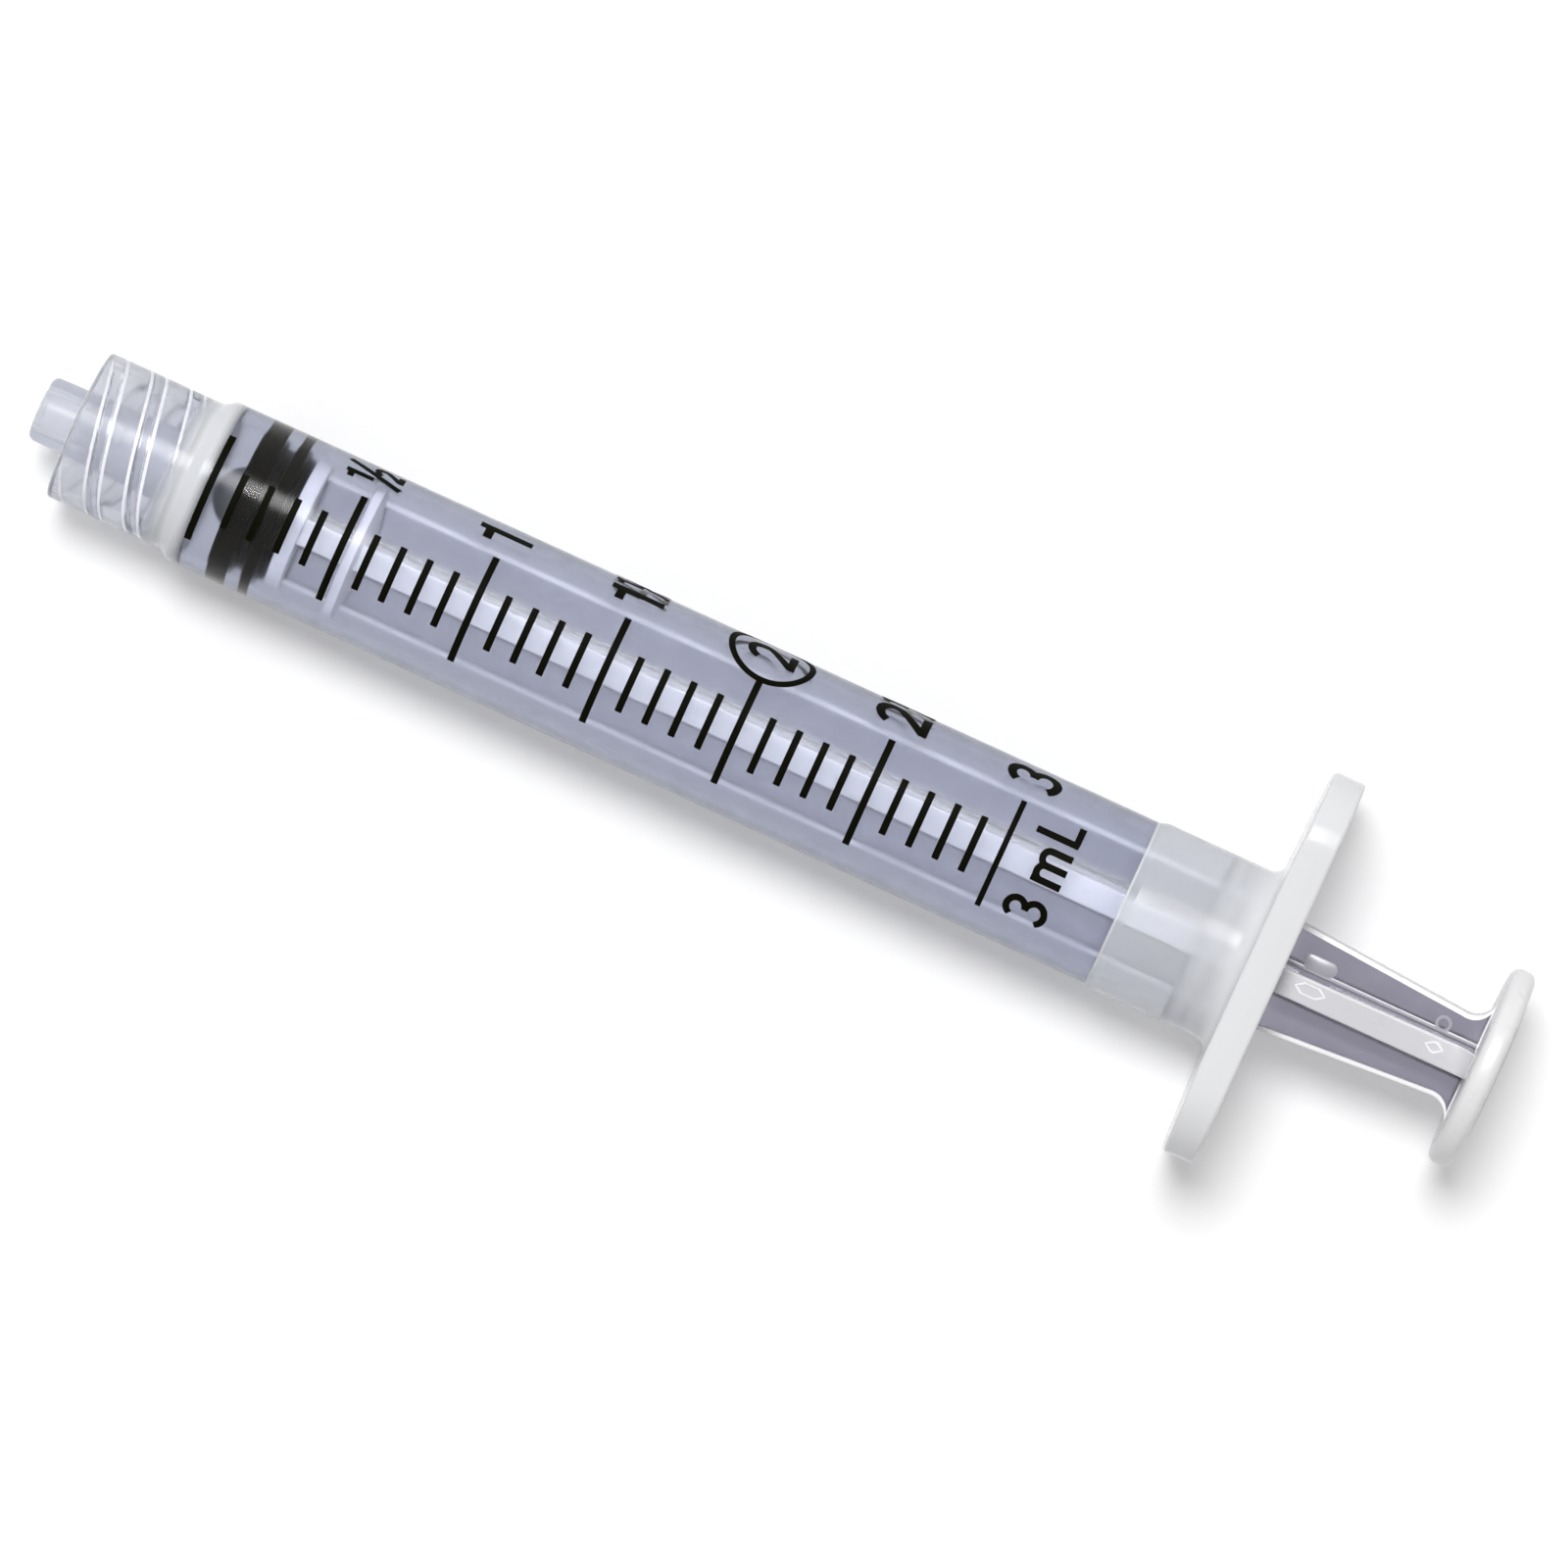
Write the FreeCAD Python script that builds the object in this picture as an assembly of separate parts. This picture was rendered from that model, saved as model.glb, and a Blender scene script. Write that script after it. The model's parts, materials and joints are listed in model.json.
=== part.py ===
"""A 3 mL luer lock syringe: barrel, rubber stopper and plunger rod.

Lengths are millimetres. Each piece is drawn about the X axis, where x = 0 is the front end of the
barrel's bore and the thumb rest is toward +X. The whole syringe is then laid on its side as it
rests on a table, on the barrel's front shoulder and the rear edge of the flange.
"""
import FreeCAD, Part
import math
import os

V = FreeCAD.Vector
X_AXIS = V(1, 0, 0)
Y_AXIS = V(0, 1, 0)
Z_AXIS = V(0, 0, 1)
ORIGIN = V(0, 0, 0)

# Barrel
bore_d = 8.66
bore_length = 69.0
wall_front = 0.75
wall_rear = 0.87
band_step = 0.17
band_length = 8.15
band_ramp = 0.6
mouth_chamfer = 0.4
bead_height = 0.2
bead_width = 1.4
bead_ramp = 0.45
bead_from_back = 3.9
end_cone_depth = 1.35
end_wall = 0.95
fluid_bore_d = 2.1

# Luer cone and its lock collar
luer_length = 8.7
luer_tip_d = 3.97
luer_taper = 0.06
luer_tip_round = 0.4
tip_past_collar = 2.46
collar_wall = 0.63
collar_edge_round = 0.25
collar_floor_rise = 0.65
shoulder_setback = 0.6
shoulder_length = 0.65

# Lock thread inside the collar: right-handed, with several starts
thread_root_d = 8.0
thread_depth = 0.5
thread_lead = 5.0
thread_starts = 2
thread_crest_width = 0.35
thread_flank_deg = 30.0
thread_mouth_gap = 0.3
thread_floor_gap = 0.35
thread_top_crossing = 1.85
thread_bite = 0.15
mouth_lead_in = 0.25

# Finger flange
flange_span = 24.4
flange_height = 13.2
flange_corner_r = 4.5
flange_thickness = 2.15
flange_tip_thinning = 0.2
flange_edge_bevel = 0.2
flange_fillet = 0.9

# Stopper
rib_clearance = 0.03
front_rib_width = 1.45
rear_rib_width = 0.78
waist_width = 0.7
waist_depth = 0.48
rib_edge_round = 0.12
skirt_length = 0.4
skirt_inset = 0.43
nose_length = 1.45
nose_dome_r = 2.0
pocket_front_wall = 0.55
pocket_d = 4.8
entry_d = 3.1
entry_wall = 0.43
entry_lead_in = 0.25
rest_gap = 1.75

# Plunger rod
head_clearance = 0.12
neck_clearance = 0.2
head_taper_length = 0.9
head_nose_d = 2.2
stopper_to_disc = 0.17
front_disc_width = 0.96
front_disc_clearance = 0.38
guide_disc_clearance = 0.13
guide_disc_width = 0.6
guide_disc_gap = 2.88
fin_clearance = 0.88
fin_edge_thickness = 1.3
fin_root_thickness = 1.9
fin_root_fillet = 0.3
shaft_shortfall = 5.5
tail_length = 11.3
tail_half_width = 2.65
tail_flare_r = 1.3
rod_roll_deg = 5.0

# Thumb rest
thumb_d = 12.48
thumb_thickness = 1.5
thumb_edge_round = 0.55
grip_ring_count = 3
grip_ring_pitch = 1.3
grip_ring_first_r = 1.6
grip_ring_width = 0.35
grip_ring_height = 0.12

# Moulding marks on one fin, behind the flange
oval_mark_length = 2.1
oval_mark_width = 0.95
oval_mark_from_thumb = 10.9
round_mark_d = 1.25
round_mark_line = 0.25
round_mark_from_thumb = 3.1
mark_from_axis = 1.3
mark_height = 0.08

# How far a cutter runs past the face that it cuts through
run_out = 1.0

# How many flats make up each turned rounding, and how much of a half width a rounding may take
round_flats = 3
round_limit = 0.95

# Radii, and places along the axis, that several pieces share
bore_r = bore_d / 2
front_r = bore_r + wall_front
rear_r = bore_r + wall_rear
band_r = rear_r + band_step
flange_back = bore_length
flange_front = flange_back - flange_thickness
band_front = flange_front - band_length
luer_base = -end_cone_depth - end_wall
luer_tip = luer_base - luer_length
luer_tip_r = luer_tip_d / 2
luer_base_r = luer_tip_r + luer_taper / 2 * luer_length
collar_mouth = luer_tip + tip_past_collar
collar_floor = luer_base + collar_floor_rise
thread_root_r = thread_root_d / 2
thread_crest_r = thread_root_r - thread_depth
collar_r = thread_root_r + collar_wall
rib_r = bore_r - rib_clearance
stopper_front = rest_gap
rear_rib_front = stopper_front + front_rib_width + waist_width
stopper_back = rear_rib_front + rear_rib_width + skirt_length
pocket_front = stopper_front + pocket_front_wall
pocket_back = stopper_back - entry_wall
disc_front = stopper_back + stopper_to_disc
guide_front = disc_front + front_disc_width + guide_disc_gap
tail_front = disc_front + bore_length - shaft_shortfall
thumb_front = tail_front + tail_length + tail_flare_r
thumb_back = thumb_front + thumb_thickness


def at(x, r):
    """A point of a profile in the half plane above the X axis."""
    return V(x, 0, r)


def lines(points):
    """Straight edges from each point to the next."""
    return [Part.makeLine(a, b) for a, b in zip(points, points[1:])]


def on_arc(centre, radius, angle_deg):
    """The point of the XZ plane at an angle about a centre, counted from +X toward +Z."""
    angle = math.radians(angle_deg)
    return centre + V(radius * math.cos(angle), 0, radius * math.sin(angle))


def arc(start, centre, radius, mid_deg, end):
    """An arc in the XZ plane from start to end, through the point at mid_deg about centre."""
    return Part.Arc(start, on_arc(centre, radius, mid_deg), end).toShape()


def rounding(centre, radius, start_deg, end_deg):
    """Points on an arc, from start_deg to end_deg, that turn a profile's corner in a few flats."""
    step = (end_deg - start_deg) / round_flats
    return [on_arc(centre, radius, start_deg + step * n) for n in range(round_flats + 1)]


def turn(edges):
    """The solid that a closed profile sweeps when it turns once about the X axis."""
    face = Part.Face(Part.Wire(edges))
    return face.revolve(ORIGIN, X_AXIS, 360)


def rod_between(x_start, x_end, radius):
    """A plain round bar along the X axis."""
    return Part.makeCylinder(radius, x_end - x_start, V(x_start, 0, 0), X_AXIS)


def ring_between(x_start, x_end, inner_r, outer_r):
    """A plain ring about the X axis."""
    return rod_between(x_start, x_end, outer_r).cut(rod_between(x_start, x_end, inner_r))


def barrel_outside():
    """The body, collar and luer cone as one turned solid, with nothing hollow yet."""
    tip_centre = at(luer_tip + luer_tip_round, luer_tip_r - luer_tip_round)
    edge_centre = at(collar_mouth + collar_edge_round, collar_r - collar_edge_round)
    shoulder_top = -shoulder_setback
    shoulder_foot = shoulder_top - shoulder_length
    outline = [at(luer_tip, 0)]
    outline += rounding(tip_centre, luer_tip_round, 180, 90)
    outline += [
        at(luer_base, luer_base_r),
        at(collar_floor, thread_root_r),
        at(collar_mouth + mouth_lead_in, thread_root_r),
        at(collar_mouth, thread_root_r + mouth_lead_in),
    ]
    outline += rounding(edge_centre, collar_edge_round, 180, 90)
    outline += [
        at(shoulder_foot, collar_r),
        at(shoulder_top, front_r),
        at(band_front, rear_r),
        at(band_front + band_ramp, band_r),
        at(flange_back, band_r),
        at(flange_back, 0),
        at(luer_tip, 0),
    ]
    return turn(lines(outline))


def barrel_bore():
    """The space inside the barrel: fluid bore, end cone, bore with its bead, and mouth chamfer."""
    fluid_r = fluid_bore_d / 2
    bead_back = flange_back - bead_from_back
    bead_front = bead_back - bead_width
    return turn(lines([
        at(luer_tip - run_out, 0),
        at(luer_tip - run_out, fluid_r),
        at(-end_cone_depth, fluid_r),
        at(0, bore_r),
        at(bead_front, bore_r),
        at(bead_front + bead_ramp, bore_r - bead_height),
        at(bead_back - bead_ramp, bore_r - bead_height),
        at(bead_back, bore_r),
        at(flange_back - mouth_chamfer, bore_r),
        at(flange_back, bore_r + mouth_chamfer),
        at(flange_back + run_out, bore_r + mouth_chamfer),
        at(flange_back + run_out, 0),
        at(luer_tip - run_out, 0),
    ]))


def thread_ridge(start):
    """One start of the lock thread, a ridge swept along a helix on the collar's inner wall."""
    flank = math.tan(math.radians(thread_flank_deg))
    root_r = thread_root_r + thread_bite
    half_crest = thread_crest_width / 2
    half_root = half_crest + (root_r - thread_crest_r) * flank
    first = collar_mouth + thread_mouth_gap + half_root
    last = collar_floor - thread_floor_gap - half_root
    helix = Part.makeHelix(thread_lead, last - first, thread_crest_r)
    corners = [
        V(thread_crest_r, 0, -half_crest),
        V(root_r, 0, -half_root),
        V(root_r, 0, half_root),
        V(thread_crest_r, 0, half_crest),
    ]
    section = Part.makePolygon(corners + corners[:1])
    ridge = Part.Wire(helix.Edges).makePipeShell([section], True, True)
    # The helix runs up Z from X; this turn sends Z to X and X to Y.
    ridge.rotate(ORIGIN, V(1, 1, 1), 120)
    top_crossing = collar_mouth + thread_top_crossing
    first_angle = 90 + 360 * (first - top_crossing) / thread_lead
    ridge.rotate(ORIGIN, X_AXIS, first_angle + 360 * start / thread_starts)
    ridge.translate(V(first, 0, 0))
    return ridge


def flange_outline(x_start, x_end):
    """A block along X with the flange's outline: a rounded rectangle, wide along Y."""
    half_y = flange_span / 2
    half_z = flange_height / 2
    block = Part.makeBox(x_end - x_start, flange_span, flange_height, V(x_start, -half_y, -half_z))
    corners = [e for e in block.Edges if abs(e.tangentAt(e.FirstParameter).x) > 0.9]
    return block.makeFillet(min(flange_corner_r, round_limit * half_z), corners)


def flange():
    """The finger flange, its front thinning toward the wing tips, with bevelled edges and its fillet."""
    half_y = flange_span / 2
    root_y = band_r + flange_fillet
    tip_front = flange_front + flange_tip_thinning
    plan = [
        V(flange_back, -half_y, 0),
        V(flange_back, half_y, 0),
        V(tip_front, half_y, 0),
        V(flange_front, root_y, 0),
        V(flange_front, -root_y, 0),
        V(tip_front, -half_y, 0),
    ]
    wedge = Part.Face(Part.makePolygon(plan + plan[:1])).extrude(V(0, 0, flange_height))
    wedge.translate(V(0, 0, -flange_height / 2))
    plate = wedge.common(flange_outline(flange_front, flange_back))
    rims = [e for e in plate.Edges if on_rim(e)]
    plate = plate.makeChamfer(flange_edge_bevel, rims)
    fillet_front = flange_front - flange_fillet
    seat = flange_front + flange_edge_bevel
    flare_outline = rounding(at(fillet_front, band_r + flange_fillet), flange_fillet, -90, 0)
    flare_outline += [
        at(seat, band_r + flange_fillet),
        at(seat, bore_r),
        at(fillet_front, bore_r),
        at(fillet_front, band_r),
    ]
    flare = turn(lines(flare_outline))
    return plate.fuse(flare.common(flange_outline(fillet_front, seat)))


def on_rim(edge):
    """True for an edge round the flange's front or back, but not for a crease where the front bends."""
    half_way = (edge.FirstParameter + edge.LastParameter) / 2
    along = edge.tangentAt(half_way)
    off_wing_end = flange_span / 2 - abs(edge.valueAt(half_way).y)
    crease = abs(along.z) > 0.99 and off_wing_end > flange_edge_bevel
    return abs(along.x) < 0.5 and not crease


def barrel():
    """Barrel, flange, collar and luer cone, moulded in one piece."""
    body = barrel_outside().fuse(flange()).cut(barrel_bore())
    ridges = [thread_ridge(start) for start in range(thread_starts)]
    return body.fuse(ridges).removeSplitter()


def stopper():
    """The rubber stopper: two sealing ribs, a domed nose, and a pocket that holds the rod's head."""
    waist_r = rib_r - waist_depth
    skirt_r = rib_r - skirt_inset
    rib_end = stopper_front + front_rib_width
    waist_end = rear_rib_front
    rear_rib_end = rear_rib_front + rear_rib_width
    soft = rib_edge_round
    nose_base_r = math.sqrt(2 * nose_dome_r * nose_length - nose_length ** 2)
    nose_tip = stopper_front - nose_length
    nose_end = at(stopper_front, nose_base_r)
    outline = [arc(at(nose_tip, 0), at(nose_tip + nose_dome_r, 0), nose_dome_r, 150, nose_end)]
    outline += lines([
        nose_end,
        at(stopper_front, rib_r - soft),
        at(stopper_front + soft, rib_r),
        at(rib_end - soft, rib_r),
        at(rib_end, rib_r - soft),
        at(rib_end + soft, waist_r),
        at(waist_end - soft, waist_r),
        at(waist_end, rib_r - soft),
        at(waist_end + soft, rib_r),
        at(rear_rib_end - soft, rib_r),
        at(rear_rib_end, rib_r - soft),
        at(rear_rib_end, skirt_r),
        at(stopper_back, skirt_r),
        at(stopper_back, entry_d / 2 + entry_lead_in),
        at(stopper_back - entry_lead_in, entry_d / 2),
        at(pocket_back, entry_d / 2),
        at(pocket_back, pocket_d / 2),
        at(pocket_front + head_taper_length, pocket_d / 2),
        at(pocket_front, head_nose_d / 2 + head_clearance),
        at(pocket_front, 0),
        at(nose_tip, 0),
    ])
    return turn(outline)


def rod_head():
    """The mushroom head and neck that hold the stopper."""
    head_r = pocket_d / 2 - head_clearance
    head_front = pocket_front + head_clearance
    head_back = pocket_back - head_clearance
    neck_r = entry_d / 2 - neck_clearance
    return turn(lines([
        at(head_front, 0),
        at(head_front, head_nose_d / 2),
        at(head_front + head_taper_length, head_r),
        at(head_back, head_r),
        at(head_back, neck_r),
        at(disc_front + front_disc_width / 2, neck_r),
        at(disc_front + front_disc_width / 2, 0),
        at(head_front, 0),
    ]))


def cross_bar():
    """The four fins as one bar: a cross section with draft on each fin, and fillets where fins meet."""
    reach = bore_r - fin_clearance + tail_flare_r
    edge = fin_edge_thickness / 2
    root = fin_root_thickness / 2
    corners = []
    for quarter in range(4):
        spin = FreeCAD.Rotation(X_AXIS, 90 * quarter)
        corners += [spin.multVec(p) for p in (V(0, reach, edge), V(0, root, root), V(0, edge, reach))]
    section = Part.Face(Part.makePolygon(corners + corners[:1]))
    bar = section.extrude(V(thumb_front + thumb_thickness / 2 - disc_front, 0, 0))
    inner = [e for e in bar.Edges if is_inner_corner(e)]
    bar = bar.makeFillet(fin_root_fillet, inner)
    bar.translate(V(disc_front, 0, 0))
    return bar


def is_inner_corner(edge):
    """True for the long edges in the four inner corners of the cross section."""
    start = edge.Vertexes[0].Point
    end = edge.Vertexes[-1].Point
    root = fin_root_thickness / 2
    in_corner = math.isclose(math.hypot(start.y, start.z), math.hypot(root, root))
    return in_corner and not math.isclose(start.x, end.x, abs_tol=fin_root_fillet)


def fin_silhouette():
    """The rod's side view, extruded: straight fins, a tapering tail and a flare into the thumb rest."""
    half = bore_r - fin_clearance
    flare_start = tail_front + tail_length
    flare_centre = at(flare_start, tail_half_width + tail_flare_r)
    flare_end = at(thumb_front, tail_half_width + tail_flare_r)
    upper = lines([at(disc_front, half), at(tail_front, half), at(flare_start, tail_half_width)])
    upper.append(arc(at(flare_start, tail_half_width), flare_centre, tail_flare_r, -45, flare_end))
    inside_thumb = thumb_front + thumb_thickness / 2
    upper += lines([flare_end, at(inside_thumb, flare_end.z)])
    lower = [e.mirror(ORIGIN, Z_AXIS) for e in upper]
    ends = [
        Part.makeLine(at(disc_front, half), at(disc_front, -half)),
        Part.makeLine(at(inside_thumb, flare_end.z), at(inside_thumb, -flare_end.z)),
    ]
    edges = Part.__sortEdges__(upper + lower + ends)
    side = Part.Face(Part.Wire(edges)).extrude(V(0, 2 * thumb_d, 0))
    side.translate(V(0, -thumb_d, 0))
    return side


def fins():
    """The cruciform shaft, cut to its silhouette from the side and from above."""
    from_side = fin_silhouette()
    from_above = from_side.copy()
    from_above.rotate(ORIGIN, X_AXIS, 90)
    return cross_bar().common(from_side).common(from_above)


def thumb_rest():
    """A round plate with rounded rims and low concentric grip rings on its back."""
    edge = min(thumb_edge_round, round_limit * thumb_thickness / 2)
    outline = [at(thumb_front, 0)]
    outline += rounding(at(thumb_front + edge, thumb_d / 2 - edge), edge, 180, 90)
    outline += rounding(at(thumb_back - edge, thumb_d / 2 - edge), edge, 90, 0)
    outline += [at(thumb_back, 0), at(thumb_front, 0)]
    plate = turn(lines(outline))
    inside_plate = (thumb_front + thumb_back) / 2
    for number in range(grip_ring_count):
        inner_r = grip_ring_first_r + number * grip_ring_pitch
        outer_r = inner_r + grip_ring_width
        plate = plate.fuse(ring_between(inside_plate, thumb_back + grip_ring_height, inner_r, outer_r))
    return plate


def moulding_marks():
    """A raised oval and a raised ring on the upper face of the +Y fin."""
    slope = (fin_root_thickness - fin_edge_thickness) / 2 / (bore_r - fin_clearance + tail_flare_r)
    top = fin_root_thickness / 2 - slope * mark_from_axis + mark_height
    oval_x = thumb_front - oval_mark_from_thumb
    end_r = oval_mark_width / 2
    straight = oval_mark_length - oval_mark_width
    oval = Part.makeBox(straight, oval_mark_width, top, V(oval_x - straight / 2, mark_from_axis - end_r, 0))
    for side in (-1, 1):
        centre = V(oval_x + side * straight / 2, mark_from_axis, 0)
        oval = oval.fuse(Part.makeCylinder(end_r, top, centre, Z_AXIS))
    ring_centre = V(thumb_front - round_mark_from_thumb, mark_from_axis, 0)
    ring_r = round_mark_d / 2
    ring = Part.makeCylinder(ring_r, top, ring_centre, Z_AXIS)
    ring = ring.cut(Part.makeCylinder(ring_r - round_mark_line, top, ring_centre, Z_AXIS))
    return [oval, ring]


def plunger_rod():
    """The rod in one piece: head, two discs, four fins and the thumb rest."""
    front_disc = rod_between(disc_front, disc_front + front_disc_width, bore_r - front_disc_clearance)
    guide_disc = rod_between(guide_front, guide_front + guide_disc_width, bore_r - guide_disc_clearance)
    pieces = [front_disc, guide_disc, fins(), thumb_rest()] + moulding_marks()
    rod = rod_head().fuse(pieces).removeSplitter()
    rod.rotate(ORIGIN, X_AXIS, rod_roll_deg)
    return rod


def rest_tilt_deg():
    """How far the axis rises toward the thumb rest when the syringe lies on a table."""
    run = flange_back - flange_edge_bevel + shoulder_setback
    drop = flange_height / 2 - front_r
    return math.degrees(math.atan2(drop, run))


def lay_down(shapes):
    """Tilt the pieces to rest, then put the origin under the middle of their common box."""
    for shape in shapes:
        shape.rotate(ORIGIN, Y_AXIS, -rest_tilt_deg())
    box = FreeCAD.BoundBox()
    for shape in shapes:
        box.add(shape.optimalBoundingBox(False, False))
    for shape in shapes:
        shape.translate(V(-box.Center.x, -box.Center.y, -box.ZMin))


def main():
    nodes = {"barrel": barrel(), "stopper": stopper(), "plunger_rod": plunger_rod()}
    lay_down(list(nodes.values()))
    os.makedirs("parts", exist_ok=True)
    for name, shape in nodes.items():
        shape.exportStep(os.path.join("parts", name + ".step"))


main()
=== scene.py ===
import json
import math

import bmesh
import bpy
import numpy as np
from mathutils import Matrix, Vector


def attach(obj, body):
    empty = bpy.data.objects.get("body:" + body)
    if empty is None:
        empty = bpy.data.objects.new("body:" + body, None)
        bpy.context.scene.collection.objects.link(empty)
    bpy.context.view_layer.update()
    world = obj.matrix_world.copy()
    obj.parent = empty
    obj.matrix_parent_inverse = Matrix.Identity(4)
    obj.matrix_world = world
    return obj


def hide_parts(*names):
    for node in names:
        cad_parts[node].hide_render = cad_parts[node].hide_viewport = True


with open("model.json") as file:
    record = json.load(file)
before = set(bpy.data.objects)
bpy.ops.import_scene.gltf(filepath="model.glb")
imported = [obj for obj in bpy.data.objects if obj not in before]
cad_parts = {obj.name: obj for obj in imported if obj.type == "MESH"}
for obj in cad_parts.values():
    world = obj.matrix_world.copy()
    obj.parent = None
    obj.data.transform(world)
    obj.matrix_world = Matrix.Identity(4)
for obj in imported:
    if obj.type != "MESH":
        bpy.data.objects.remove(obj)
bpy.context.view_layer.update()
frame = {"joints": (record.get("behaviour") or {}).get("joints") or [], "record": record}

# The syringe's own frame: millimetres, x along the axis from the front of the bore toward the thumb rest,
# y along the flange's wings and z up. Angles about the axis are counted from +y toward +z.
LUER_TIP = -11.0
slide = next(j for j in frame["joints"] if j["name"] == "plunger_slide")
cone = next(m for m in frame["record"]["mounts"] if m["name"] == "luer_cone")
ALONG = Vector(slide["axis"]).normalized()
ACROSS = Vector((0, 1, 0))
UP = ALONG.cross(ACROSS)
BORE_FRONT = Vector(cone["pos_m"]) - ALONG * (LUER_TIP / 1000)
TURN = Matrix((ALONG, ACROSS, UP)).transposed().to_4x4()
PLACE = Matrix.Translation(BORE_FRONT) @ TURN @ Matrix.Scale(0.001, 4)

SEGMENTS = 160
ROUND_STEP = math.radians(15)
SHARP = math.radians(38)

BORE_R = 4.33
LUER_TIP_R = 1.985
LUER_BASE_R = 2.246
LUER_BASE = -2.3
LUER_BORE_R = 1.05
END_CONE = -1.35
COLLAR_MOUTH = -8.54
COLLAR_FLOOR = -1.65
COLLAR_R = 4.63
THREAD_ROOT_R = 4.0
THREAD_CREST_R = 3.5
THREAD_LEAD = 5.0
THREAD_PHASE = 6.69
SHOULDER = -0.6
FRONT_R = 5.08
BAND_FRONT = 58.9
REAR_R = 5.20
BAND_R = 5.37
FLANGE_FRONT = 66.85
FLANGE_BACK = 69.0
FLANGE_FILLET = 0.9
HALF_SPAN = 12.2
HALF_HEIGHT = 6.6
CORNER_R = 4.5
EDGE_R = 0.22
MOUTH_CHAMFER = 0.4
TIP_THINNING = 0.2
ROD_ROLL = math.radians(5.0)


# Mesh helpers

def soften(points):
    """A profile from corners (x, r, rounding): each corner becomes an arc of its own radius."""
    out = []
    last = len(points) - 1
    for i, (x, r, rounding) in enumerate(points):
        corner = np.array([x, r])
        if rounding == 0 or i in (0, last):
            out.append(corner)
            continue
        back = np.array(points[i - 1][:2]) - corner
        ahead = np.array(points[i + 1][:2]) - corner
        reach = min(np.linalg.norm(back), np.linalg.norm(ahead)) * 0.48
        back = back / np.linalg.norm(back)
        ahead = ahead / np.linalg.norm(ahead)
        half = math.acos(np.clip(back @ ahead, -1, 1)) / 2
        if half > math.radians(89):
            out.append(corner)
            continue
        length = min(rounding / math.tan(half), reach)
        radius = length * math.tan(half)
        middle = (back + ahead) / np.linalg.norm(back + ahead)
        centre = corner + middle * radius / math.sin(half)
        start = corner + back * length - centre
        sweep = math.pi - 2 * half
        turn = math.copysign(sweep, start[0] * ahead[1] - start[1] * ahead[0])
        steps = max(2, math.ceil(sweep / ROUND_STEP))
        for k in range(steps + 1):
            a = turn * k / steps
            out.append(centre + np.array([
                start[0] * math.cos(a) - start[1] * math.sin(a),
                start[0] * math.sin(a) + start[1] * math.cos(a)]))
    return out


def with_stops(profile, stops):
    """The same profile with a point added wherever a straight run passes one of the stops along x,
    unless the run has an end within 0.05 mm of the stop."""
    out = [profile[0]]
    for a, b in zip(profile, profile[1:]):
        passed = [x for x in stops if min(a[0], b[0]) + 0.05 < x < max(a[0], b[0]) - 0.05]
        for x in sorted(passed, reverse=bool(b[0] < a[0])):
            out.append(a + (b - a) * (x - a[0]) / (b[0] - a[0]))
        out.append(b)
    return out


def angles(count=SEGMENTS):
    """Evenly spaced angles for one ring."""
    return np.arange(count) * 2 * math.pi / count


def ring(x, r, count=SEGMENTS):
    """One ring of points round the axis. x and r may be one number each or one for every point."""
    a = angles(count)
    return np.stack([np.broadcast_to(x, a.shape), r * np.cos(a), r * np.sin(a)], axis=1)


def mesh_object(name, vertices, faces):
    """An object in the scene from points and faces, with every face turned outward."""
    mesh = bpy.data.meshes.new(name)
    mesh.from_pydata([tuple(v) for v in vertices], [], [tuple(int(i) for i in f) for f in faces])
    mesh.update()
    shape = bmesh.new()
    shape.from_mesh(mesh)
    bmesh.ops.recalc_face_normals(shape, faces=shape.faces)
    shape.to_mesh(mesh)
    shape.free()
    piece = bpy.data.objects.new(name, mesh)
    bpy.context.scene.collection.objects.link(piece)
    return piece


def loop_of_rings(name, rings):
    """A closed, hollow body whose last ring joins its first."""
    rows, count = len(rings), len(rings[0])
    faces = []
    for i in range(rows):
        j = (i + 1) % rows
        for k in range(count):
            m = (k + 1) % count
            faces.append((i * count + k, i * count + m, j * count + m, j * count + k))
    return mesh_object(name, np.concatenate(rings), faces)


def stack_of_rings(name, rings, poles=None):
    """A closed body from rings, with a fan to a pole at each end, or with flat caps."""
    rows, count = len(rings), len(rings[0])
    vertices = list(np.concatenate(rings))
    faces = []
    for i in range(rows - 1):
        for k in range(count):
            m = (k + 1) % count
            faces.append((i * count + k, i * count + m, (i + 1) * count + m, (i + 1) * count + k))
    if poles is None:
        faces.append(tuple(range(count)))
        faces.append(tuple(range((rows - 1) * count, rows * count)))
    else:
        vertices += [np.array(p, float) for p in poles]
        first, end = rows * count, (rows - 1) * count
        for k in range(count):
            m = (k + 1) % count
            faces.append((first, m, k))
            faces.append((first + 1, end + k, end + m))
    return mesh_object(name, vertices, faces)


def turned(name, points, count=128):
    """A solid turned about the axis from a profile whose first and last points lie on the axis."""
    profile = soften(points)
    inner = [ring(p[0], p[1], count) for p in profile[1:-1]]
    return stack_of_rings(name, inner, [(profile[0][0], 0, 0), (profile[-1][0], 0, 0)])


def unite(piece, tools):
    """The union of a closed body and closed tools, in place of the body."""
    for tool in tools:
        union = piece.modifiers.new("union", "BOOLEAN")
        union.operation = "UNION"
        union.solver = "EXACT"
        union.object = tool
    graph = bpy.context.evaluated_depsgraph_get()
    made = bpy.data.meshes.new_from_object(piece.evaluated_get(graph))
    piece.modifiers.clear()
    piece.data = made
    for tool in tools:
        bpy.data.objects.remove(tool)
    return piece


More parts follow.
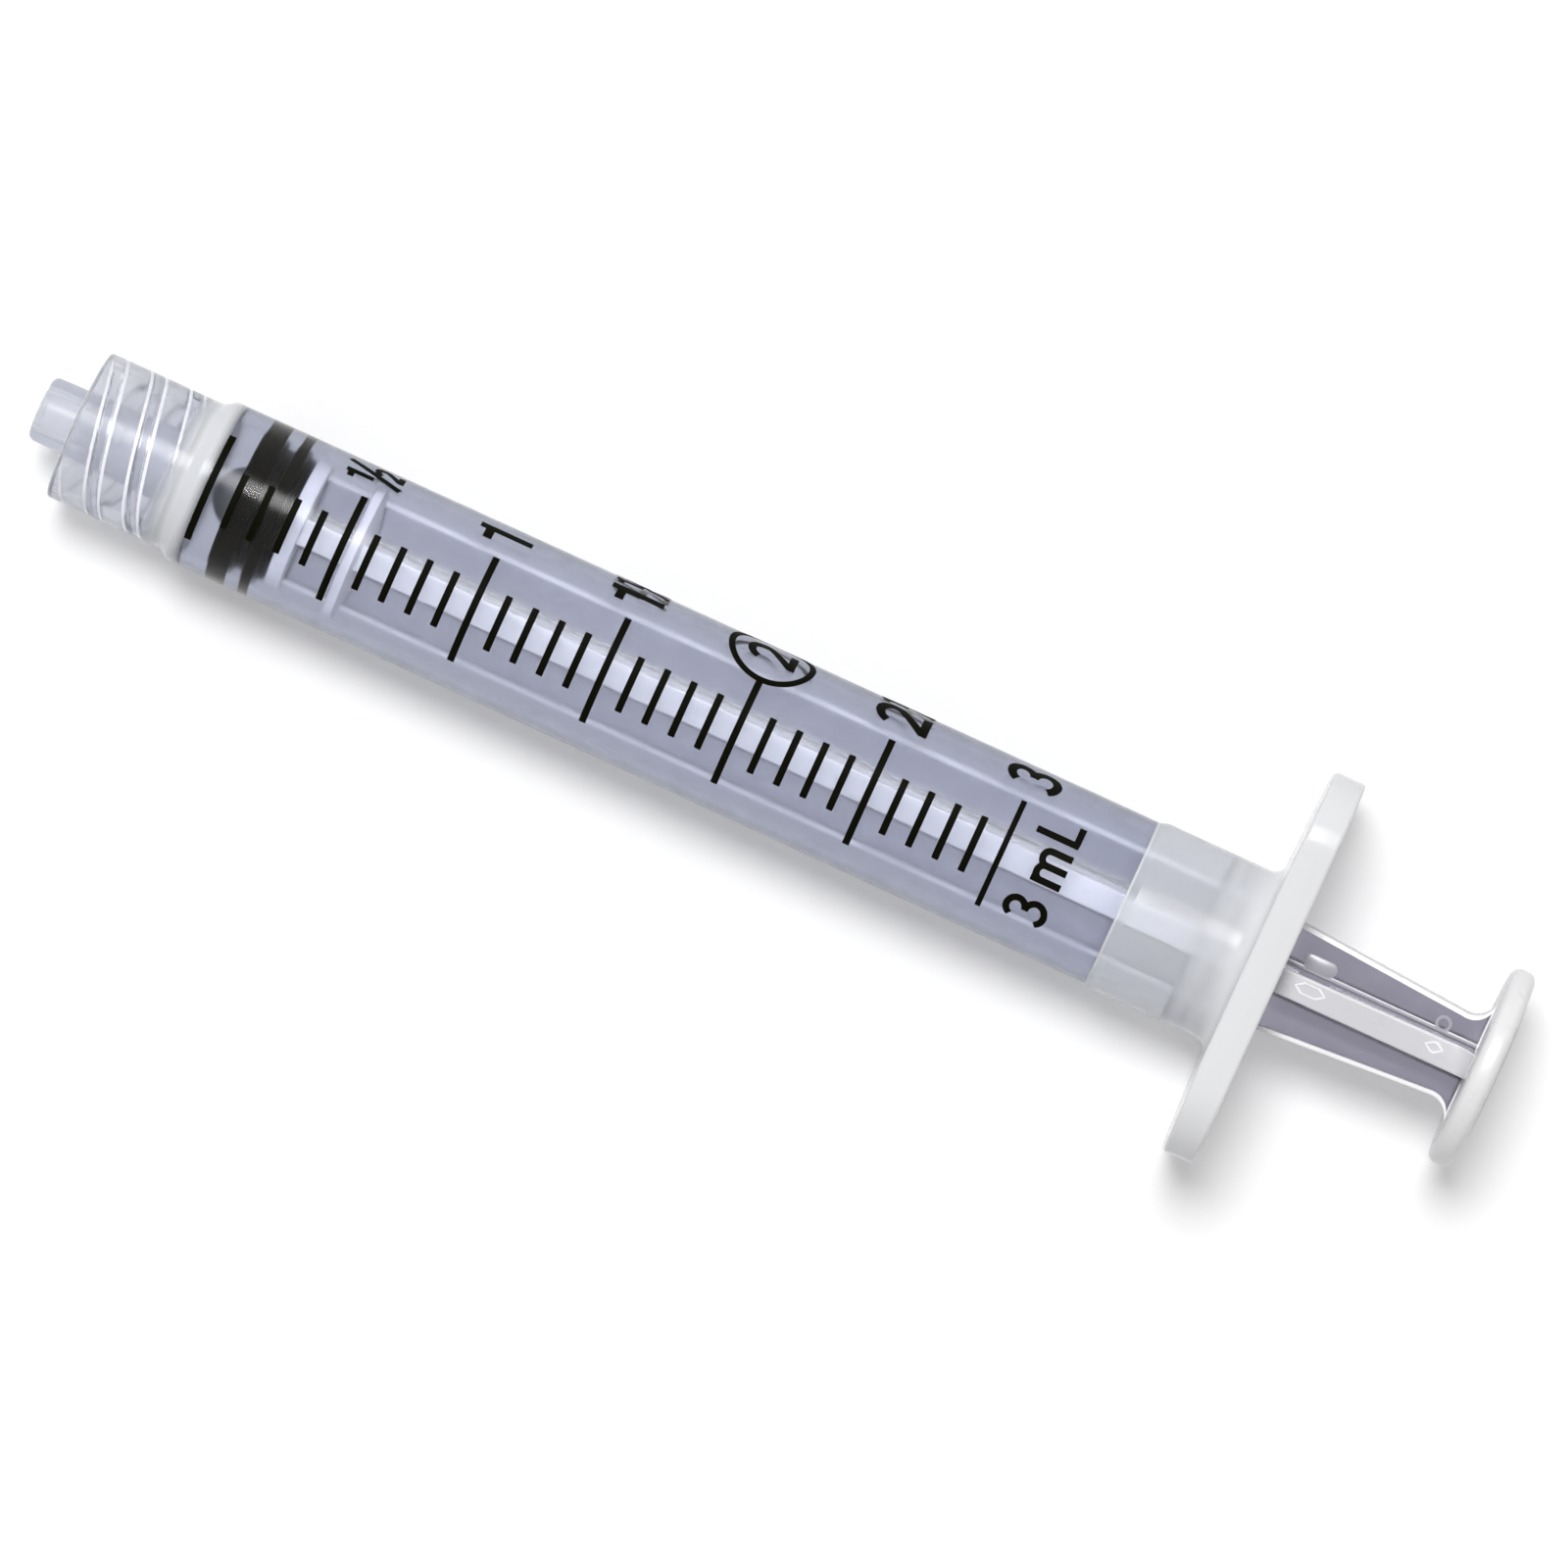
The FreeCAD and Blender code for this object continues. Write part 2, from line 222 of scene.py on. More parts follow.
def mark_haze(piece, haze):
    """Stores how milky the plastic is at every vertex, from its place along and about the axis."""
    mesh = piece.data
    values = [haze(v.co.x, math.hypot(v.co.y, v.co.z)) for v in mesh.vertices]
    mesh.attributes.new("haze", "FLOAT", "POINT").data.foreach_set("value", values)


def settle(piece, body, materials, zones=None):
    """Smooth the piece's shading, give it its materials, lay it where the CAD is and tie it to its body."""
    mesh = piece.data
    for material in materials:
        mesh.materials.append(material)
    if zones is not None:
        for face in mesh.polygons:
            face.material_index = zones(face.center)
    mesh.polygons.foreach_set("use_smooth", [True] * len(mesh.polygons))
    mesh.set_sharp_from_angle(angle=SHARP)
    mesh.transform(PLACE)
    mesh.update()
    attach(piece, body)


# Materials

def node_material(name):
    """A material with one Principled shader, and that shader."""
    material = bpy.data.materials.new(name)
    material.use_nodes = True
    nodes = material.node_tree.nodes
    nodes.clear()
    out = nodes.new("ShaderNodeOutputMaterial")
    shader = nodes.new("ShaderNodeBsdfPrincipled")
    material.node_tree.links.new(shader.outputs["BSDF"], out.inputs["Surface"])
    return material, shader


def add_grain(material, shader, scale, roughness, bump):
    """Roughness that wanders between two values, and a faint bump, both from noise in object space."""
    tree = material.node_tree
    place = tree.nodes.new("ShaderNodeTexCoord")
    noise = tree.nodes.new("ShaderNodeTexNoise")
    noise.inputs["Scale"].default_value = scale
    noise.inputs["Detail"].default_value = 4
    tree.links.new(place.outputs["Object"], noise.inputs["Vector"])
    spread = tree.nodes.new("ShaderNodeMapRange")
    spread.inputs["From Min"].default_value = 0.35
    spread.inputs["From Max"].default_value = 0.65
    spread.inputs["To Min"].default_value = roughness[0]
    spread.inputs["To Max"].default_value = roughness[1]
    tree.links.new(noise.outputs["Fac"], spread.inputs["Value"])
    tree.links.new(spread.outputs["Result"], shader.inputs["Roughness"])
    if bump:
        relief = tree.nodes.new("ShaderNodeBump")
        relief.inputs["Strength"].default_value = bump
        relief.inputs["Distance"].default_value = 0.0001
        tree.links.new(noise.outputs["Fac"], relief.inputs["Height"])
        tree.links.new(relief.outputs["Normal"], shader.inputs["Normal"])


def barrel_plastic(name, clear_tint, milky, density):
    """Lilac clear plastic that grows milky where the mesh's haze says so, with absorption in its depth."""
    material, shader = node_material(name)
    tree = material.node_tree
    haze = tree.nodes.new("ShaderNodeAttribute")
    haze.attribute_name = "haze"
    colour = tree.nodes.new("ShaderNodeMix")
    colour.data_type = "RGBA"
    colour.inputs["A"].default_value = (*clear_tint, 1)
    colour.inputs["B"].default_value = (*milky, 1)
    tree.links.new(haze.outputs["Fac"], colour.inputs["Factor"])
    tree.links.new(colour.outputs["Result"], shader.inputs["Base Color"])
    clear = tree.nodes.new("ShaderNodeMapRange")
    clear.inputs["To Min"].default_value = 1.0
    clear.inputs["To Max"].default_value = 0.0
    tree.links.new(haze.outputs["Fac"], clear.inputs["Value"])
    tree.links.new(clear.outputs["Result"], shader.inputs["Transmission Weight"])
    shader.inputs["IOR"].default_value = 1.42
    shader.inputs["Specular Tint"].default_value = (0.25, 0.25, 0.25, 1)
    add_grain(material, shader, 700, (0.12, 0.20), 0.04)
    depth = tree.nodes.new("ShaderNodeVolumeAbsorption")
    depth.inputs["Color"].default_value = (0.29, 0.335, 0.49, 1)
    depth.inputs["Density"].default_value = density
    out = next(n for n in tree.nodes if n.type == "OUTPUT_MATERIAL")
    tree.links.new(depth.outputs["Volume"], out.inputs["Volume"])
    return material


def plain(name, colour, roughness, scale, bump, specular=0.5):
    """One opaque colour with a grain."""
    material, shader = node_material(name)
    shader.inputs["Base Color"].default_value = (*colour, 1)
    shader.inputs["Specular IOR Level"].default_value = specular
    add_grain(material, shader, scale, roughness, bump)
    return material


def painted_shade_along_rod(material, shader, front, rear, start, end):
    """Painted shade: a base colour that changes along the rod between two places on the axis, in millimetres
    at rest.
    """
    tree = material.node_tree
    place = tree.nodes.new("ShaderNodeTexCoord")
    split = tree.nodes.new("ShaderNodeSeparateXYZ")
    tree.links.new(place.outputs["Object"], split.inputs["Vector"])
    along = tree.nodes.new("ShaderNodeMapRange")
    along.inputs["From Min"].default_value = (BORE_FRONT + ALONG * (start / 1000)).x
    along.inputs["From Max"].default_value = (BORE_FRONT + ALONG * (end / 1000)).x
    tree.links.new(split.outputs["X"], along.inputs["Value"])
    tint = tree.nodes.new("ShaderNodeMix")
    tint.data_type = "RGBA"
    tint.inputs["A"].default_value = (*front, 1)
    tint.inputs["B"].default_value = (*rear, 1)
    tree.links.new(along.outputs["Result"], tint.inputs["Factor"])
    tree.links.new(tint.outputs["Result"], shader.inputs["Base Color"])


def rod_plastic():
    """Clear plastic with painted shade, its colour darkening toward the thumb rest, where the rod stands out
    of the barrel.
    """
    material, shader = node_material("rod_plastic")
    painted_shade_along_rod(material, shader, (0.82, 0.82, 0.86), (0.28, 0.27, 0.34), start=58, end=70)
    shader.inputs["Transmission Weight"].default_value = 0.93
    shader.inputs["IOR"].default_value = 1.45
    add_grain(material, shader, 600, (0.10, 0.20), 0.05)
    return material


def rod_edge():
    """The fins' outer faces: opaque and pale, painted light for the glow the clear fins carry to their edges,
    with painted shade darkening them toward the thumb rest.
    """
    material, shader = node_material("rod_edges_painted_light")
    painted_shade_along_rod(material, shader, (0.89, 0.89, 0.88), (0.66, 0.655, 0.69), start=56, end=69)
    add_grain(material, shader, 600, (0.25, 0.35), 0.0)
    return material


CLEAR_TINT = (0.97, 0.97, 0.99)
FRONT_PLASTIC = barrel_plastic("barrel_front_plastic", CLEAR_TINT, (0.83, 0.85, 0.885), 260)
TUBE_PLASTIC = barrel_plastic("barrel_tube_plastic", CLEAR_TINT, (0.85, 0.856, 0.87), 600)
REAR_PLASTIC = barrel_plastic("barrel_rear_plastic", (0.93, 0.95, 1.0), (0.81, 0.815, 0.835), 150)
# Opaque white for the guide disc and the fins' raised outlines, and for painted highlights: the lines beside
# the thread and the strips along the fins' edges.
WHITE_AND_HIGHLIGHTS = plain("white_and_painted_highlights", (0.97, 0.955, 0.96), (0.4, 0.5), 600, 0.0)
ROD_PLASTIC = rod_plastic()
ROD_EDGE_PAINTED_LIGHT = rod_edge()
ROD_WHITE = plain("rod_white", (0.86, 0.86, 0.87), (0.25, 0.35), 600, 0.0)
ROD_MARK = plain("rod_marks", (0.38, 0.375, 0.42), (0.25, 0.35), 600, 0.0)
RUBBER = plain("stopper_rubber", (0.016, 0.014, 0.009), (0.45, 0.6), 1200, 0.2, 0.05)
# Painted light: the nose's rubber is a lighter grey than the ribs, for the pale look the dome has through the
# barrel.
NOSE_RUBBER = plain("stopper_nose_rubber", (0.20, 0.20, 0.205), (0.5, 0.65), 1200, 0.2, 0.05)
INK = plain("print_ink", (0.004, 0.004, 0.0015), (0.5, 0.6), 3000, 0.0, 0.02)


# Barrel

def rounded_outline(inset):
    """The flange outline's distance from the axis at every ring angle, moved in by an inset."""
    a = angles()
    c, s = np.abs(np.cos(a)), np.abs(np.sin(a))
    half_y, half_z, radius = HALF_SPAN - inset, HALF_HEIGHT - inset, CORNER_R - inset
    side = half_y / np.maximum(c, 1e-9)
    top = half_z / np.maximum(s, 1e-9)
    flat = np.where(side * s <= half_z - radius, side, np.where(top * c <= half_y - radius, top, 0))
    centre = np.array([half_y - radius, half_z - radius])
    along = c * centre[0] + s * centre[1]
    corner = along + np.sqrt(np.maximum(along ** 2 - centre @ centre + radius ** 2, 0))
    return np.where(flat > 0, flat, corner)


def front_of_flange(r):
    """Where the flange's front face is along the axis: it runs back toward the wing tips."""
    root = BAND_R + FLANGE_FILLET
    y = np.abs(r * np.cos(angles()))
    return FLANGE_FRONT + TIP_THINNING * np.clip((y - root) / (HALF_SPAN - root), 0, 1)


def flange_rings():
    """Rings over the flange: fillet, front face, rounded rim and back face."""
    rings = []
    centre_r = BAND_R + FLANGE_FILLET
    for deg in range(-90, 1, 15):
        a = math.radians(deg)
        rings.append(ring(FLANGE_FRONT - FLANGE_FILLET + FLANGE_FILLET * math.cos(a),
                          centre_r + FLANGE_FILLET * math.sin(a)))
    outer = rounded_outline(EDGE_R)
    for share in (0.06, 0.25, 0.5, 0.75):
        r = centre_r + share * (outer - centre_r)
        rings.append(ring(front_of_flange(r), r))
    for deg in range(0, 91, 15):
        a = math.radians(deg)
        r = rounded_outline(EDGE_R * (1 - math.sin(a)))
        rings.append(ring(front_of_flange(r) + EDGE_R * (1 - math.cos(a)), r))
    for deg in range(90, -1, -15):
        a = math.radians(deg)
        r = rounded_outline(EDGE_R * (1 - math.sin(a)))
        rings.append(ring(FLANGE_BACK - EDGE_R * (1 - math.cos(a)), r))
    mouth_r = BORE_R + MOUTH_CHAMFER
    for share in (0.6, 0.3):
        rings.append(ring(FLANGE_BACK, mouth_r + share * (outer - mouth_r)))
    return rings


def thread_angle(x, start):
    """The angle of a thread's ridge at a place along the axis, for the first start (0) or the second (1)."""
    return math.radians(90 + 180 * start) + 2 * math.pi * (x + THREAD_PHASE) / THREAD_LEAD


def thread_ridge(start):
    """One start of the right-handed lock thread, its ends running out into the wall."""
    root_r = THREAD_ROOT_R + 0.15
    sunk_r = root_r - 0.12
    half_crest = 0.175
    half_foot = half_crest + (THREAD_ROOT_R - THREAD_CREST_R) * math.tan(math.radians(30))
    half_root = half_foot + 0.2
    first = COLLAR_MOUTH + 0.3 + half_root
    last = COLLAR_FLOOR - 0.35 - half_root
    steps = int((last - first) / THREAD_LEAD * SEGMENTS)
    run_out_steps = 7
    half = [(half_root, root_r, 0), (half_foot + 0.13, THREAD_ROOT_R - 0.01, 0),
            (half_foot, THREAD_ROOT_R - 0.07, 0.05), (half_crest, THREAD_CREST_R, 0.1)]
    section = soften([(-x, r, rounding) for x, r, rounding in half] + half[::-1])
    rings = []
    for k in range(steps + 1):
        share = k / steps
        x = first + (last - first) * share
        a = thread_angle(x, start)
        run_out = min(share, 1 - share) * steps / run_out_steps
        rise = max(math.sin(min(run_out, 1) * math.pi / 2), 0.02)
        points = [(x + dx, sunk_r - (sunk_r - r) * rise if r < root_r else root_r) for dx, r in section]
        rings.append(np.array([(at, r * math.cos(a), r * math.sin(a)) for at, r in points]))
    return stack_of_rings("ridge", rings)


# How milky the barrel is along the axis, from 0 for clear to 1 for opaque.
HAZE = ((LUER_TIP, 0.7), (-10.8, 0.12), (-8.7, 0.08), (-2.7, 0.06), (-1.3, 0.85), (-0.35, 0.85), (0.15, 0.05),
        (0.45, 0.0), (BAND_FRONT - 0.08, 0.0), (BAND_FRONT, 0.9), (BAND_FRONT + 0.14, 0.40), (61.0, 0.42),
        (63.5, 0.46), (65.3, 0.65), (FLANGE_FRONT, 1.0), (FLANGE_BACK, 1.0))
HAZE_STOPS = [x for x, _ in HAZE]
WALL_FRONT = -2.1
LUER_SKIN_R = 2.3
BEAD_START = 63.7
BEAD_END = 65.1

# The barrel's shells part at a cut in the end wall and at the step, and each stops SEAM short of it.
CUT = -0.3
CUT_INNER_R = BORE_R - (BORE_R - LUER_BORE_R) * CUT / END_CONE
SEAM = 0.005

# The painted highlights beside the thread, white lines for the light that the ridges' corners catch, lie
# inside the collar's wall.
GLINT_LINE_R = 4.09
GLINT_LINE_DEPTH = 0.03
GLINT_LINE_HALF = 0.09
GLINT_LINE_OFFSET = 0.46


def barrel_haze(x, r):
    """How milky the barrel is: most at the end wall, the step and the flange."""
    haze = float(np.interp(x, HAZE_STOPS, [h for _, h in HAZE]))
    if x < COLLAR_MOUTH + 0.3 and r > THREAD_ROOT_R:  # The collar's rim.
        return 0.7 if x < COLLAR_MOUTH + 0.06 else 0.2
    if COLLAR_MOUTH < x < WALL_FRONT and r < LUER_SKIN_R:  # The luer cone inside the collar.
        return 0.45
    if x < WALL_FRONT and LUER_SKIN_R < r < THREAD_ROOT_R + 0.1:  # The thread and the collar's inside.
        return 0.03
    if BEAD_START - 0.1 < x < BEAD_END + 0.1 and r < BORE_R - 0.05:  # The bead in the barrel's mouth.
        return 0.6
    if 0 < x < FLANGE_BACK - 0.5 and r < BORE_R + 0.1:  # The bore.
        return 0.15 * haze
    return haze


def thread_glint_lines():
    """Painted highlights: opaque white lines inside the collar's wall, along both feet of each thread ridge,
    for the light the ridges' corners catch.
    """
    vertices, faces = [], []
    first, last = COLLAR_MOUTH + 0.35, COLLAR_FLOOR - 0.3
    steps = int((last - first) / THREAD_LEAD * SEGMENTS)
    point_steps = 12
    low, high = GLINT_LINE_R - GLINT_LINE_DEPTH, GLINT_LINE_R + GLINT_LINE_DEPTH
    for start, side in ((0, -1), (0, 1), (1, -1), (1, 1)):
        rings = []
        for k in range(steps + 1):
            x = first + (last - first) * k / steps
            a = thread_angle(x - side * GLINT_LINE_OFFSET, start)
            half = GLINT_LINE_HALF * math.sqrt(min(k, steps - k, point_steps) / point_steps) + 0.01
            section = ((-half, GLINT_LINE_R), (-half / 2, high), (half / 2, high),
                       (half, GLINT_LINE_R), (half / 2, low), (-half / 2, low))
            rings.append([(x + dx, r * math.cos(a), r * math.sin(a)) for dx, r in section])
        add_strip(vertices, faces, (rings, False))
    settle(mesh_object("thread_glint_lines", vertices, faces), "barrel", [WHITE_AND_HIGHLIGHTS])


def add_shell(name, rings, material, tools=()):
    """One of the barrel's closed shells, with tools such as the thread united to it."""
    shell = unite(loop_of_rings(name, rings), tools)
    mark_haze(shell, barrel_haze)
    settle(shell, "barrel", [material])
    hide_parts("barrel")


def build_barrel():
    """One moulding in three closed shells, split in the milky end wall and at the step."""
    nose = soften([
        (CUT - SEAM, CUT_INNER_R, 0), (END_CONE, LUER_BORE_R, 0.15), (LUER_TIP, LUER_BORE_R, 0.12),
        (LUER_TIP, LUER_TIP_R, 0.4), (LUER_BASE, LUER_BASE_R, 0.15), (COLLAR_FLOOR, THREAD_ROOT_R, 0.2),
        (COLLAR_MOUTH + 0.25, THREAD_ROOT_R, 0.1), (COLLAR_MOUTH, THREAD_ROOT_R + 0.25, 0.1),
        (COLLAR_MOUTH, COLLAR_R, 0.25), (SHOULDER - 0.65, COLLAR_R, 0.1), (SHOULDER, FRONT_R, 0.2),
        (CUT - SEAM, FRONT_R, 0)])
    tube = soften([
        (CUT + SEAM, FRONT_R, 0), (BAND_FRONT - SEAM, REAR_R, 0), (BAND_FRONT - SEAM, BORE_R, 0),
        (0, BORE_R, 0.35), (CUT + SEAM, CUT_INNER_R, 0)])
    band = soften([
        (BAND_FRONT + SEAM, REAR_R, 0), (BAND_FRONT + 0.6, BAND_R, 0.1),
        (FLANGE_FRONT - FLANGE_FILLET, BAND_R, 0)])
    bead_r = BORE_R - 0.2
    mouth = soften([
        (FLANGE_BACK, 7.0, 0), (FLANGE_BACK, BORE_R + MOUTH_CHAMFER, 0.1),
        (FLANGE_BACK - MOUTH_CHAMFER, BORE_R, 0.1), (BEAD_END, BORE_R, 0.3), (BEAD_END - 0.45, bead_r, 0.3),
        (BEAD_START + 0.45, bead_r, 0.3), (BEAD_START, BORE_R, 0.3), (BAND_FRONT + SEAM, BORE_R, 0)])
    rings = [[ring(x, r) for x, r in with_stops(line, HAZE_STOPS)] for line in (nose, tube, band, mouth)]
    add_shell("barrel_front", rings[0], FRONT_PLASTIC, [thread_ridge(0), thread_ridge(1)])
    thread_glint_lines()
    add_shell("barrel_tube", rings[1], TUBE_PLASTIC)
    add_shell("barrel_rear", rings[2][:-1] + flange_rings() + rings[3][1:], REAR_PLASTIC)


# Stopper

def build_stopper():
    """The rubber: a domed nose, two ribs a little wider than the bore and a pocket for the rod's head."""
    rib = BORE_R + 0.005
    dome = []
    for k in range(1, 9):
        a = math.radians(74 * k / 8)
        dome.append((2.3 - 2.0 * math.cos(a), 2.0 * math.sin(a), 0))
    outside = [
        (1.75, 2.0, 0.1), (1.75, rib, 0.16), (3.2, rib, 0.16), (3.3, 3.82, 0.15), (3.8, 3.82, 0.15),
        (3.9, rib, 0.14), (4.68, rib, 0.14), (4.72, 3.87, 0.1), (5.08, 3.87, 0.1)]
    pocket = [
        (5.08, 1.8, 0.06), (4.83, 1.55, 0.06), (4.65, 1.55, 0.03), (4.65, 2.4, 0.06), (3.2, 2.4, 0.1),
        (2.3, 1.22, 0.1), (2.3, 0, 0)]
    stopper = turned("stopper_rubber", [(0.3, 0, 0)] + dome + outside + pocket)
    # The nose takes the lighter rubber, its paleness painted light.
    settle(stopper, "stopper", [RUBBER, NOSE_RUBBER],
           lambda centre: int(centre.x < 1.72 and math.hypot(centre.y, centre.z) < 1.97))
    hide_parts("stopper")


# Plunger rod

# The fins run straight, then taper, then flare into the thumb rest. Half their thickness is FIN_HALF at
# the root, and FIN_THINNING less at FULL_REACH from the axis.
FIN_HALF = 0.95
FIN_THINNING = 0.3
FULL_REACH = 4.75
FIN_REACH = 3.45
TAPER_START = 68.75
TAPER_LENGTH = 11.3
TAPER_DEPTH = 0.8
FLARE_START = 80.05
FLARE_REACH = 3.95
FLARE_R = 1.3
EDGE_STRIP = 0.3
MARK_FRONT = 71.0
MARK_REAR = 78.95

# The rod's materials, by their place in the piece's list.
ROD_MATERIALS = [ROD_PLASTIC, ROD_EDGE_PAINTED_LIGHT, ROD_WHITE, ROD_MARK, WHITE_AND_HIGHLIGHTS]
CLEAR, EDGE, MILKY, MARK, WHITE_AND_HIGHLIGHT_ZONE = range(5)


def cross_section(reach):
    """The outline of the four fins out to a reach, with filleted roots and softened edges."""
    root = FIN_HALF
    edge = root - FIN_THINNING * (reach - root) / (FULL_REACH - root)
    slope = (root - edge) / (reach - root) * EDGE_STRIP
    corners = []
    for quarter in range(4):
        c, s = round(math.cos(quarter * math.pi / 2)), round(math.sin(quarter * math.pi / 2))
        for y, z, rounding in (
                (root, -root, 0.3), (reach - EDGE_STRIP, -edge - slope, 0), (reach, -edge, 0.1),
                (reach, edge, 0.1), (reach - EDGE_STRIP, edge + slope, 0)):
            corners.append((c * y - s * z, s * y + c * z, rounding))
    return soften_closed([corners[-1]] + corners + [corners[0]])


def soften_closed(points):
    """Like soften, for a closed outline that starts with its last corner and ends with its first."""
    out = []
    for before, corner, after in zip(points, points[1:], points[2:]):
        out += soften([(*before[:2], 0), corner, (*after[:2], 0)])[1:-1]
    return out


def fin_reach(x):
    """How far the fins reach from the axis."""
    if x <= TAPER_START:
        return FIN_REACH
    if x <= FLARE_START:
        return FIN_REACH - TAPER_DEPTH * (x - TAPER_START) / TAPER_LENGTH
    return FLARE_REACH - math.sqrt(max(FLARE_R ** 2 - min(x - FLARE_START, FLARE_R) ** 2, 0))


def rod_zone(centre):
    """The material of one of the rod's faces."""
    back = Matrix.Rotation(-ROD_ROLL, 3, "X") @ centre
    far = max(abs(back.y), abs(back.z))
    over = far - fin_reach(back.x)
    if 9.0 < back.x < 10.4 and far > 1.4:  # The guide disc.
        return WHITE_AND_HIGHLIGHT_ZONE
    if back.x > 81.25 or 5.0 < back.x < 6.3:  # The thumb rest and the front disc.
        return MILKY
    if back.x > 69 and back.z > FIN_HALF - 0.02 and 0.98 < back.y < 2.1:  # The oval and the ring.
        return MARK
    if 6.3 < back.x < 80 and over > 0.005:  # The hexagon and the diamond.
        return WHITE_AND_HIGHLIGHT_ZONE
    # Painted light: the fins' outer faces, pale for the light they carry, with painted shade toward the thumb
    # rest.
    if back.x > 6.3 and over > -0.02:
        return EDGE
    # Painted highlights: white strips along the fins' edges stand for the light lines there.
    if back.x > 6.3 and over > 0.02 - EDGE_STRIP:
        return WHITE_AND_HIGHLIGHT_ZONE
    return CLEAR


def build_rod():
    """The rod in one closed body: fins, head, front disc, guide disc, thumb rest and moulded marks."""
    flare = [FLARE_START + FLARE_R * math.sin(math.radians(d)) for d in range(10, 91, 10)]
    stations = [5.7, TAPER_START, FLARE_START] + flare + [82.0]
    rings = [np.array([(x, y, z) for y, z in cross_section(fin_reach(x))]) for x in stations]
    shaft = stack_of_rings("rod", rings)
    head = turned("head", [
        (2.42, 0, 0), (2.42, 1.1, 0.15), (3.32, 2.28, 0.2), (4.53, 2.28, 0.1), (4.53, 1.35, 0.1),
        (5.25, 1.35, 0.05), (5.25, 3.95, 0.12), (6.21, 3.95, 0.12), (6.21, 0, 0)])
    guide = turned("guide", [
        (9.09, 0, 0), (9.09, 4.20, 0.1), (9.69, 4.20, 0.08), (9.93, 3.3, 0.6), (10.18, 2.0, 0.6),
        (10.28, 0, 0)])
    front, back, rim_r, grip_back = 81.35, 82.85, 6.24, 82.97
    outline = [(front, 0, 0), (front, rim_r, 0.55), (back, rim_r, 0.55)]
    for r in (4.2, 2.9, 1.6):
        wide = r + 0.35
        outline += [(back, wide, 0.04), (grip_back, wide, 0.05), (grip_back, r, 0.05), (back, r, 0.04)]
    rest = turned("rest", outline + [(back, 0, 0)])
    rod = unite(shaft, [head, guide, rest] + moulding_marks())
    rod.data.transform(Matrix.Rotation(ROD_ROLL, 4, "X"))
    rod.name = "plunger_rod_moulding"
    settle(rod, "plunger", ROD_MATERIALS, rod_zone)
    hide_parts("plunger_rod")


def raised_loop(name, outline, width, top, base):
    """A raised line of a given width along a closed outline of (x, y) points, its top at height top(x)."""
    path = np.array(outline)
    middle = path.mean(axis=0)
    loop = []
    for inset, high in ((0, False), (0, True), (width, True), (width, False)):
        moved = [p + (middle - p) * inset / np.linalg.norm(middle - p) for p in path]
        loop.append(np.array([(x, y, top(x) if high else base) for x, y in moved]))
    return loop_of_rings(name, loop)


def moulding_marks():
    """A raised oval and ring on the upper face of the +y fin, and two outlines on the fin that faces up."""
    flank = FIN_HALF - FIN_THINNING * (1.5 - FIN_HALF) / (FULL_REACH - FIN_HALF) + 0.07
    base = 0.2
    y, half, r = 1.56, 0.6, 0.46
    turns = [math.pi * (k + 0.5) / 16 for k in range(32)]
    rim = [(math.copysign(half, math.cos(a)) + r * math.cos(a), r * math.sin(a)) for a in turns]
    rings = [np.array([(MARK_FRONT + u * share, y + v * share, z) for u, v in rim])
             for share, z in ((1, base), (1, flank - 0.03), (0.93, flank))]
    marks = [stack_of_rings("oval", rings)]
    circle = [(MARK_REAR + 0.5 * math.cos(a), 1.5 + 0.5 * math.sin(a)) for a in angles(32)]
    marks.append(raised_loop("ring", circle, 0.19, lambda x: flank, base))
    for name, x, long, flat in (("hexagon", MARK_FRONT, 1.0, 0.5), ("diamond", MARK_REAR, 0.62, 0.12)):
        low, middle, high = -0.2, 0.16, 0.52
        shape = [(x - long, middle), (x - flat, high), (x + flat, high),
                 (x + long, middle), (x + flat, low), (x - flat, low)]
        marks.append(raised_loop(name, shape, 0.13, lambda x: fin_reach(x) + 0.04, 2.0))
    return marks


# Print on the barrel

INK_TOP = 0.02
INK_SINK = 0.01
PRINT_CREEP = math.radians(2.2) / 51
WRAP_R = 5.14
ZERO_LINE = 0.3
SCALE_STEP = 50.93 / 30
LONG_LINE = (-37.6, 42.9)  # Degrees round from the top.
SHORT_LINE = (-15.9, 23.7)


def barrel_radius(x):
    """The barrel's outer radius, which grows a little from the shoulder to the step."""
    return FRONT_R + (REAR_R - FRONT_R) * (x - SHOULDER) / (BAND_FRONT - SHOULDER)


def on_barrel(x, turn, lift):
    """A point on the barrel's outside. The turn is in radians from the top, toward -y when positive.
    The whole print is a little askew, so it creeps round toward the rear."""
    turn += PRINT_CREEP * (x - ZERO_LINE)
    r = barrel_radius(x) + lift
    return (x, -r * math.sin(turn), r * math.cos(turn))


